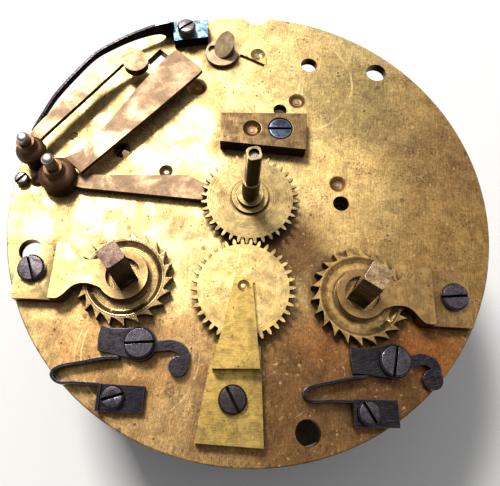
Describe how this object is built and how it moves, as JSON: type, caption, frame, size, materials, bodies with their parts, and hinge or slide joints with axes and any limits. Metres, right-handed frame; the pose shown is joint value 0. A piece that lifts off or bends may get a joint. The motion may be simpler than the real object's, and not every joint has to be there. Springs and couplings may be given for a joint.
{
  "type": "mantel clock movement",
  "caption": "Round brass mantel clock movement with going and strike trains between two plates, cannon, ratchets, clicks and strike levers on its front plate.",
  "frame": {"origin": "on the centre arbor's axis, at the surface that the movement lies on", "axes": "+Z out of the dial side along the centre arbor, +Y to twelve o'clock, +X to three o'clock"},
  "size_m": [0.086, 0.0859, 0.0603],
  "materials": {
    "plate_brass": "worn, finely scratched",
    "part_brass": "satin",
    "lever_brass": "pale, bright edges",
    "dark_steel": "dark, worn bright at the edges",
    "bright_steel": "polished",
    "blued_steel": "heat blued"
  },
  "bodies": {
    "plates": {"front_plate": "plate_brass", "back_plate": "plate_brass", "pillars": "part_brass", "pillar_pins": "bright_steel", "third_wheel_cock": "part_brass", "third_cock_screw": "blued_steel", "minute_wheel_cock": "part_brass", "minute_cock_screw": "dark_steel", "left_barrel_bridge": "part_brass", "right_barrel_bridge": "part_brass", "bridge_screws": "dark_steel", "click_screws": "dark_steel", "left_click_spring": "dark_steel", "right_click_spring": "dark_steel", "click_spring_screws": "bright_steel", "lever_posts": "bright_steel", "lever_spring": "blued_steel", "small_screws": "bright_steel", "stop_stud": "lever_brass", "anchor_bush": "plate_brass", "back_cock": "part_brass", "back_cock_screws": "dark_steel", "hammer_spring": "bright_steel", "bell_stand_foot": "part_brass"},
    "centre_arbor_set": {"centre_wheel": "part_brass", "centre_arbor": "bright_steel", "cannon_wheel": "dark_steel"},
    "minute_wheel_set": {"minute_wheel": "part_brass"},
    "third_set": {"third_wheel": "part_brass", "third_arbor": "bright_steel"},
    "escape_set": {"escape_wheel": "part_brass", "escape_arbor": "bright_steel"},
    "intermediate_set": {"intermediate_wheel": "part_brass", "intermediate_arbor": "bright_steel"},
    "going_barrel_set": {"going_barrel": "part_brass", "going_barrel_cap": "part_brass", "going_mainspring": "dark_steel"},
    "going_winding_set": {"right_ratchet": "part_brass", "going_barrel_arbor": "dark_steel"},
    "strike_barrel_set": {"strike_barrel": "part_brass", "strike_barrel_cap": "part_brass", "strike_mainspring": "dark_steel"},
    "strike_winding_set": {"left_ratchet": "part_brass", "strike_barrel_arbor": "dark_steel"},
    "second_set": {"second_wheel": "part_brass", "second_arbor": "bright_steel", "count_wheel": "part_brass"},
    "pin_wheel_set": {"pin_wheel": "part_brass", "pin_wheel_arbor": "bright_steel"},
    "locking_set": {"locking_wheel": "part_brass"},
    "warning_set": {"warning_wheel": "part_brass"},
    "fly_set": {"fly": "bright_steel"},
    "anchor_set": {"anchor": "bright_steel", "anchor_arbor": "bright_steel", "crutch": "bright_steel"},
    "hammer_set": {"hammer": "bright_steel"},
    "detent_set": {"detent_lever": "lever_brass"},
    "lifting_set": {"lifting_lever": "lever_brass"},
    "left_click_set": {"left_click": "dark_steel"},
    "right_click_set": {"right_click": "dark_steel"}
  },
  "joints": [
    {"name": "going_winding_turn", "type": "hinge", "parent": "plates", "child": "going_winding_set", "pos_m": [0.01895, -0.01625, 0.041], "axis": [0, 0, 1], "continuous": true},
    {"name": "strike_winding_turn", "type": "hinge", "parent": "plates", "child": "strike_winding_set", "pos_m": [-0.0203, -0.0152, 0.041], "axis": [0, 0, 1], "continuous": true},
    {"name": "centre_turn", "type": "hinge", "parent": "plates", "child": "centre_arbor_set", "pos_m": [0, 0, 0.041], "axis": [0, 0, 1], "continuous": true},
    {"name": "minute_wheel_turn", "type": "hinge", "parent": "plates", "child": "minute_wheel_set", "pos_m": [-0.00045, -0.0163, 0.041], "axis": [0, 0, 1], "continuous": true},
    {"name": "third_turn", "type": "hinge", "parent": "plates", "child": "third_set", "pos_m": [-0.00014, 0.01398, 0.0204], "axis": [0, 0, 1], "continuous": true},
    {"name": "escape_turn", "type": "hinge", "parent": "plates", "child": "escape_set", "pos_m": [0.00852, 0.02254, 0.0288], "axis": [0, 0, 1], "continuous": true},
    {"name": "intermediate_turn", "type": "hinge", "parent": "plates", "child": "intermediate_set", "pos_m": [0.01615, 0.00487, 0.0369], "axis": [0, 0, 1], "continuous": true},
    {"name": "going_barrel_turn", "type": "hinge", "parent": "plates", "child": "going_barrel_set", "pos_m": [0.01895, -0.01625, 0.0245], "axis": [0, 0, 1], "continuous": true},
    {"name": "pin_wheel_turn", "type": "hinge", "parent": "plates", "child": "pin_wheel_set", "pos_m": [-0.0296, 0.0102, 0.027], "axis": [0, 0, 1], "continuous": true},
    {"name": "second_turn", "type": "hinge", "parent": "plates", "child": "second_set", "pos_m": [-0.01567, 0.00573, 0.0369], "axis": [0, 0, 1], "continuous": true},
    {"name": "strike_barrel_turn", "type": "hinge", "parent": "plates", "child": "strike_barrel_set", "pos_m": [-0.0203, -0.0152, 0.0245], "axis": [0, 0, 1], "continuous": true},
    {"name": "locking_turn", "type": "hinge", "parent": "plates", "child": "locking_set", "pos_m": [-0.0236, 0.0178, 0.0229], "axis": [0, 0, 1], "continuous": true},
    {"name": "warning_turn", "type": "hinge", "parent": "plates", "child": "warning_set", "pos_m": [-0.019, 0.0257, 0.0309], "axis": [0, 0, 1], "continuous": true},
    {"name": "fly_turn", "type": "hinge", "parent": "plates", "child": "fly_set", "pos_m": [-0.0114, 0.02464, 0.0165], "axis": [0, 0, 1], "continuous": true},
    {"name": "anchor_swing", "type": "hinge", "parent": "plates", "child": "anchor_set", "pos_m": [0.00046, 0.03337, 0.0289], "axis": [0, 0, 1], "range_deg": [-3, 3]},
    {"name": "hammer_swing", "type": "hinge", "parent": "plates", "child": "hammer_set", "pos_m": [-0.0387, 0.00257, 0.028], "axis": [0, 0, 1], "range_deg": [0, 10], "deforming": ["hammer_spring"]},
    {"name": "detent_swing", "type": "hinge", "parent": "plates", "child": "detent_set", "pos_m": [-0.0395, 0.00645, 0.0447], "axis": [0, 0, 1], "range_deg": [0, 4], "deforming": ["lever_spring"]},
    {"name": "lifting_swing", "type": "hinge", "parent": "plates", "child": "lifting_set", "pos_m": [-0.0345, 0.0026, 0.044], "axis": [0, 0, 1], "range_deg": [0, 2.8]},
    {"name": "left_click_swing", "type": "hinge", "parent": "plates", "child": "left_click_set", "pos_m": [-0.0165, -0.0258, 0.0419], "axis": [0, 0, 1], "range_deg": [0, 12], "deforming": ["left_click_spring"]},
    {"name": "right_click_swing", "type": "hinge", "parent": "plates", "child": "right_click_set", "pos_m": [0.0239, -0.0265, 0.0419], "axis": [0, 0, 1], "range_deg": [0, 12], "deforming": ["right_click_spring"]}
  ],
  "couplings": [
    {"joint": "minute_wheel_turn", "follows": "centre_turn", "ratio": -1},
    {"joint": "third_turn", "follows": "centre_turn", "ratio": -9},
    {"joint": "escape_turn", "follows": "centre_turn", "ratio": 90},
    {"joint": "intermediate_turn", "follows": "centre_turn", "ratio": -0.125},
    {"joint": "going_barrel_turn", "follows": "centre_turn", "ratio": 0.024306},
    {"joint": "second_turn", "follows": "pin_wheel_turn", "ratio": -0.11111},
    {"joint": "strike_barrel_turn", "follows": "pin_wheel_turn", "ratio": 0.021605},
    {"joint": "locking_turn", "follows": "pin_wheel_turn", "ratio": -10},
    {"joint": "warning_turn", "follows": "pin_wheel_turn", "ratio": 60},
    {"joint": "fly_turn", "follows": "pin_wheel_turn", "ratio": -360}
  ]
}
